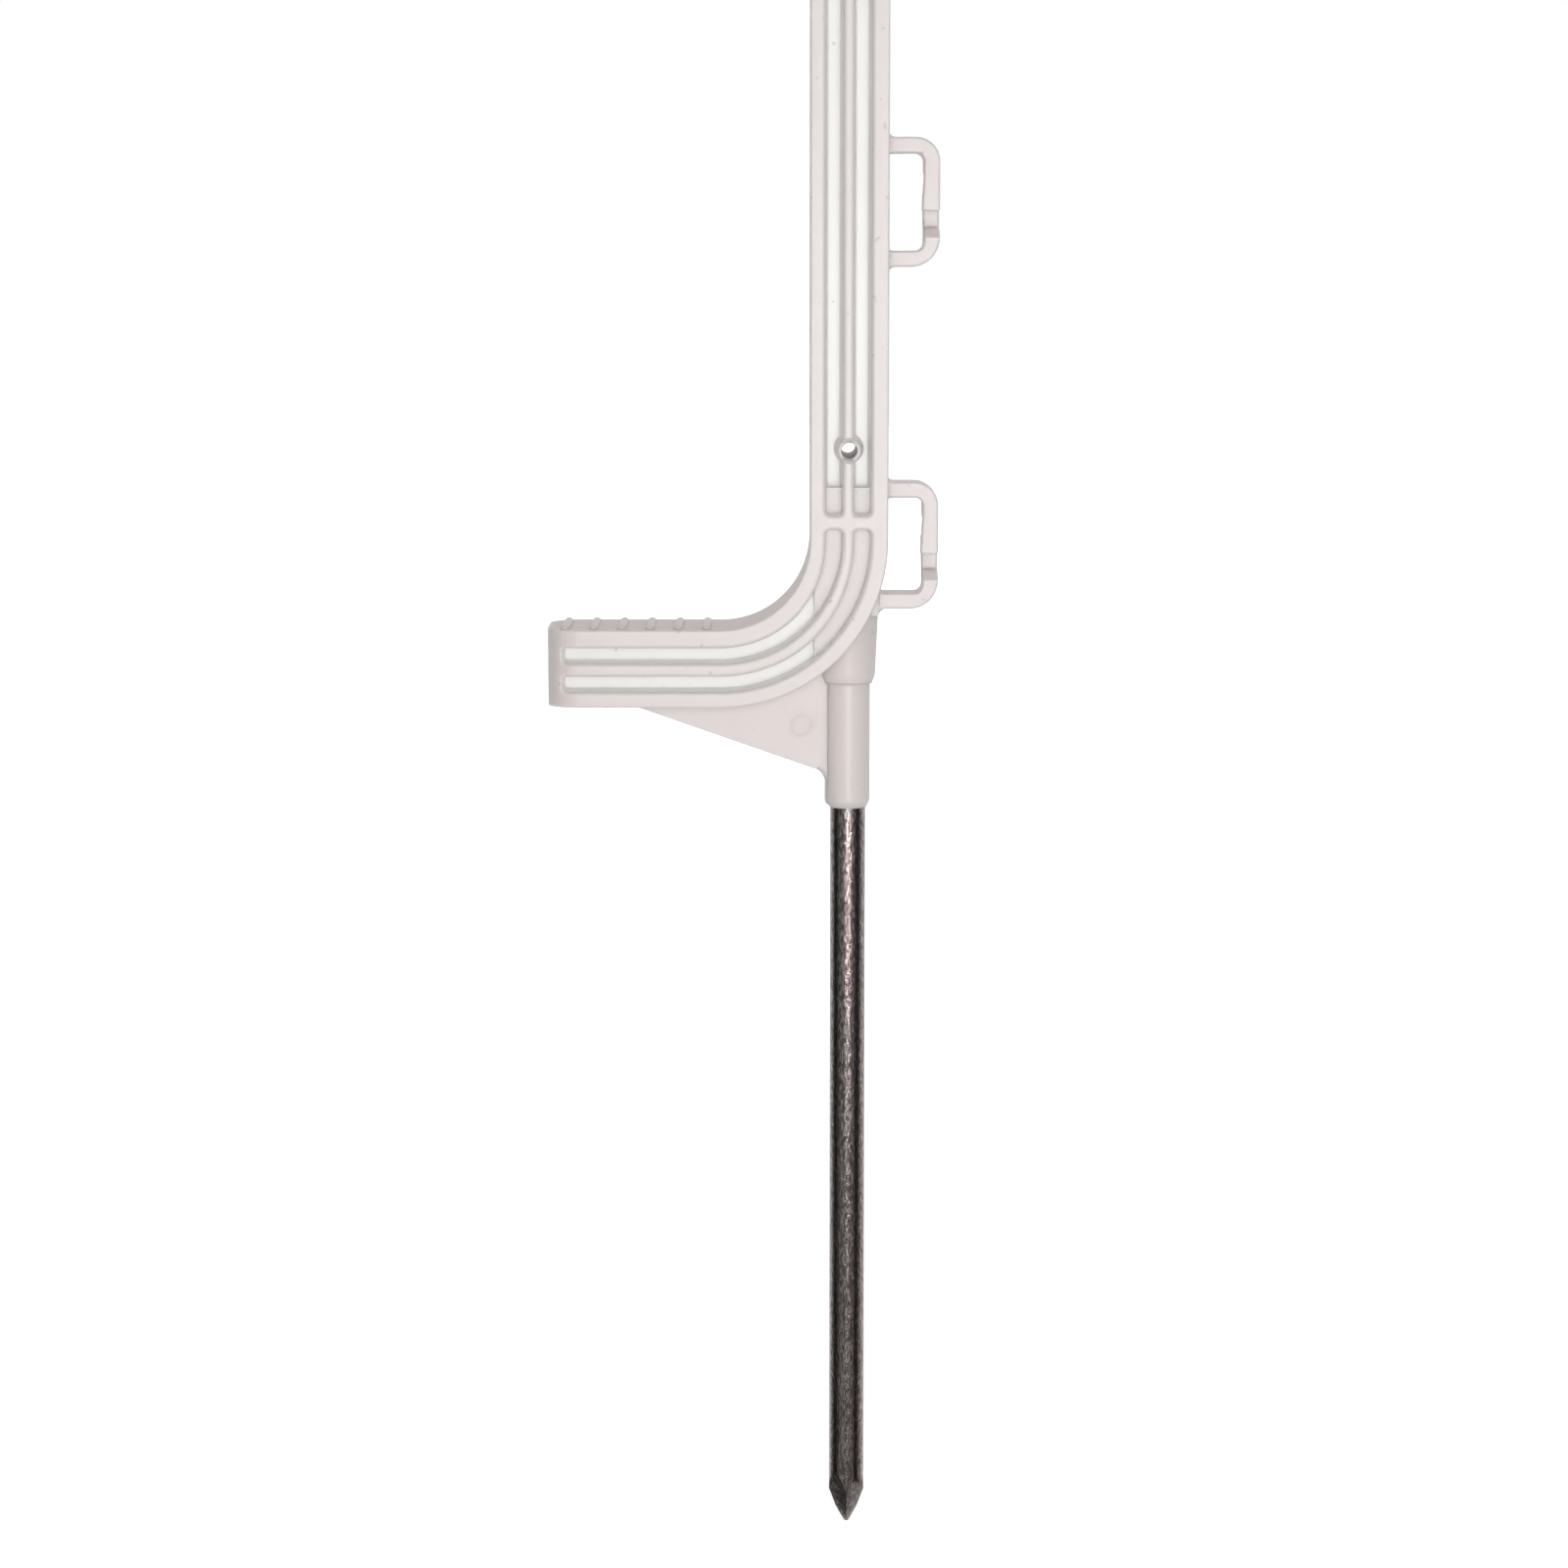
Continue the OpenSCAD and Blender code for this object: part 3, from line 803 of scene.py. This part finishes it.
# ---- Wire loops ---------------------------------------------------------------------------
# Each loop is two plastic hooks whose fingers pass side by side, so the wire is pressed in
# between them. A hook is drawn on from the column: a root that thins out, the arm, a bent
# corner, the bar, and from a step on a finger of half the depth.
loop_reach = 12.8 * mm
bar_t = 4.0 * mm
loop_half_d = 5.5 * mm
loop_half_h = 16 * mm
root_hold = 2 * mm
root_r = 1.7 * mm
root_under_r = 0.5 * mm
inner_r = 2 * mm
finger_back = -0.4 * mm
step_z = 6.4 * mm
tip_z = -2 * mm
step_chamfer = 2.4 * mm
hook_edge_r = 0.6 * mm
tip_edge_r = 0.2 * mm


def hook_mesh(root, outer_r, flare):
    """An upper hook, with x from the column's face and z from the middle of the loop."""
    bm = bmesh.new()
    top = loop_half_h
    under = top - bar_t
    rows = (-loop_half_d, finger_back, loop_half_d)
    points = [(y, top + root_r) for y in rows] + [(y, under - root_under_r) for y in rows[::-1]]
    verts = [bm.verts.new((root - root_hold, y, z)) for y, z in points]
    ring = [bm.edges.new(pair) for pair in zip(verts, verts[1:] + verts[:1])]
    bm.faces.new(verts)
    ring = led_on(bm, ring, (root_hold, 0, 0))
    angles = [math.radians(90 - 15 * k) for k in range(7)]
    for a, b in zip(angles, angles[1:]):
        ring = led_on(bm, ring, (root_r * (math.sin(a) - math.sin(b)), 0, 0))
        for v in {v for e in ring for v in e.verts}:
            if v.co.z > (top + under) / 2:
                v.co.z = top + root_r * (1 - math.cos(b))
            else:
                v.co.z = under - root_under_r * (1 - math.cos(b))
    ring = led_on(bm, ring, (loop_reach - outer_r - root - root_r, 0, 0))
    corner = Vector((loop_reach - outer_r, 0, top - outer_r))
    ring = led_round(bm, ring, corner, (0, 1, 0), math.pi / 2, 12)
    inside = [
        v for v in bm.verts
        if v.co.x > corner.x + near or v.co.z < corner.z - near]
    inside = [v for v in inside if (v.co - corner).xz.length < outer_r - bar_t / 2]
    inner_corner = Vector((loop_reach - bar_t - inner_r, 0, top - bar_t - inner_r))
    for v in inside:
        turn = math.atan2(v.co.x - corner.x, v.co.z - corner.z)
        v.co.x = inner_corner.x + inner_r * math.sin(turn)
        v.co.z = inner_corner.z + inner_r * math.cos(turn)
    ring = led_on(bm, ring, (0, 0, step_z - corner.z))
    for v in {v for e in ring for v in e.verts}:
        v.co.z = step_z
    ring_verts = {v for e in ring for v in e.verts}
    split = [v for v in ring_verts if abs(v.co.y - finger_back) < near]
    seam = bm.edges.new(split)
    behind = {v for v in ring_verts if v.co.y > finger_back - near}
    bmesh.ops.contextual_create(bm, geom=[
        e for e in ring + [seam] if all(v in behind for v in e.verts)])
    front = {v for v in ring_verts if v.co.y < finger_back + near}
    finger = [e for e in ring + [seam] if all(v in front for v in e.verts)]
    finger = led_on(bm, finger, (0, 0, tip_z - step_z))
    bmesh.ops.contextual_create(bm, geom=finger)
    for v in {v for e in finger for v in e.verts}:
        if v.co.x < loop_reach - bar_t / 2:
            v.co.x -= flare
    bmesh.ops.recalc_face_normals(bm, faces=bm.faces)

    # The step's outer edge is a broad chamfer, the drawn edges are rounded, and the finger's
    # end hardly is
    round_sharp_edges(bm, step_chamfer, 1, lambda e: all(
        abs(v.co.z - step_z) < near and v.co.y > loop_half_d - margin for v in e.verts),
        clamp=False)
    bm.normal_update()
    round_sharp_edges(
        bm, hook_edge_r, 4, lambda e: any(v.co.x > root + margin for v in e.verts)
        and not all(v.co.z < tip_z + near for v in e.verts), least=50, clamp=False)
    bm.normal_update()
    round_sharp_edges(
        bm, tip_edge_r, 2, lambda e: all(v.co.z < tip_z + near for v in e.verts), least=50)
    return bm


# The lowest hook grows out of the rounded bend, so its root starts further in
lowest_root = -2 * mm
for number in range(1, 7):
    for side in ("upper", "lower"):
        node = "loop_%d_%s_hook" % (number, side)
        low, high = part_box(node)
        root = lowest_root if (number, side) == (1, "lower") else 0
        if side == "upper":
            hook_bm = hook_mesh(root, outer_r=6 * mm, flare=0.5 * mm)
            middle = high.z - root_r - loop_half_h
        else:
            hook_bm = hook_mesh(root, outer_r=7.2 * mm, flare=0.2 * mm)
            middle = low.z + root_r + loop_half_h
            bmesh.ops.rotate(hook_bm, verts=hook_bm.verts, matrix=Matrix.Rotation(math.pi, 3, "X"))
        bmesh.ops.translate(hook_bm, verts=hook_bm.verts, vec=(half_w, 0, middle))
        hook = new_object(node.replace("loop", "wire_loop"), hook_bm)
        finish_mesh(hook, plastic)
        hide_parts(node)


# ---- Steel spike --------------------------------------------------------------------------
# Round steel rod, ground to a four-sided point with slightly full faces, and blackened. The
# surface is pitted and drawn lengthwise, with bright specks where the scale has come off.
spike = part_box("steel_spike")
spike_r = spike[1].x
point_profile = [(0.4 * mm, 0), (1.95 * mm, 4 * mm), (spike_r, 13.6 * mm)]
held_len = 4 * mm
spike_len = held_len - spike[0].z
spike_bm = bmesh.new()
bmesh.ops.create_cone(
    spike_bm, cap_ends=True, segments=96, radius1=spike_r, radius2=spike_r, depth=spike_len,
    matrix=Matrix.Translation((0, 0, spike[0].z + spike_len / 2)))
for (r0, z0), (r1, z1) in reversed(list(zip(point_profile, point_profile[1:]))):
    lean = math.atan((r1 - r0) / (z1 - z0))
    for quarter in range(4):
        around = math.radians(45 + 90 * quarter)
        outward = Vector((
            math.cos(around) * math.cos(lean), math.sin(around) * math.cos(lean),
            -math.sin(lean)))
        on_plane = Vector((r0 * math.cos(around), r0 * math.sin(around), spike[0].z + z0))
        bmesh.ops.bisect_plane(
            spike_bm, geom=spike_bm.verts[:] + spike_bm.edges[:] + spike_bm.faces[:],
            dist=0.0001 * mm, plane_co=on_plane, plane_no=outward, clear_outer=True)
        bmesh.ops.holes_fill(spike_bm, edges=[e for e in spike_bm.edges if e.is_boundary])
bmesh.ops.recalc_face_normals(spike_bm, faces=spike_bm.faces)
spike_piece = new_object("steel_ground_spike", spike_bm)

steel, nodes, links, out = new_material("blackened_steel")
shader = nodes.new("ShaderNodeBsdfPrincipled")
shader.inputs["Metallic"].default_value = 1.0
links.new(shader.outputs[0], out.inputs["Surface"])
place = nodes.new("ShaderNodeTexCoord")
stretch = nodes.new("ShaderNodeMapping")
stretch.inputs["Scale"].default_value = (1, 1, 0.25)
links.new(place.outputs["Object"], stretch.inputs["Vector"])
drawn = noise(nodes, links, stretch.outputs["Vector"], scale=2400, detail=3)
scale_tone = nodes.new("ShaderNodeValToRGB")
scale_tone.color_ramp.elements[0].position = 0.36
scale_tone.color_ramp.elements[0].color = (0.13, 0.105, 0.10, 1)
scale_tone.color_ramp.elements[1].position = 0.66
scale_tone.color_ramp.elements[1].color = (0.42, 0.37, 0.35, 1)
links.new(drawn.outputs["Fac"], scale_tone.inputs["Fac"])
links.new(scale_tone.outputs["Color"], shader.inputs["Base Color"])
pits = noise(nodes, links, place.outputs["Object"], scale=1900, detail=5)
pits.inputs["Roughness"].default_value = 0.65
dull = nodes.new("ShaderNodeMapRange")
dull.inputs["To Min"].default_value = 0.05
dull.inputs["To Max"].default_value = 0.20
links.new(pits.outputs["Fac"], dull.inputs["Value"])
links.new(dull.outputs["Result"], shader.inputs["Roughness"])
pitted = nodes.new("ShaderNodeBump")
pitted.inputs["Strength"].default_value = 1.0
pitted.inputs["Distance"].default_value = 0.09 * mm
links.new(pits.outputs["Fac"], pitted.inputs["Height"])
links.new(pitted.outputs["Normal"], shader.inputs["Normal"])
finish_mesh(spike_piece, steel, slot="steel", sharp=25)
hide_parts("steel_spike")
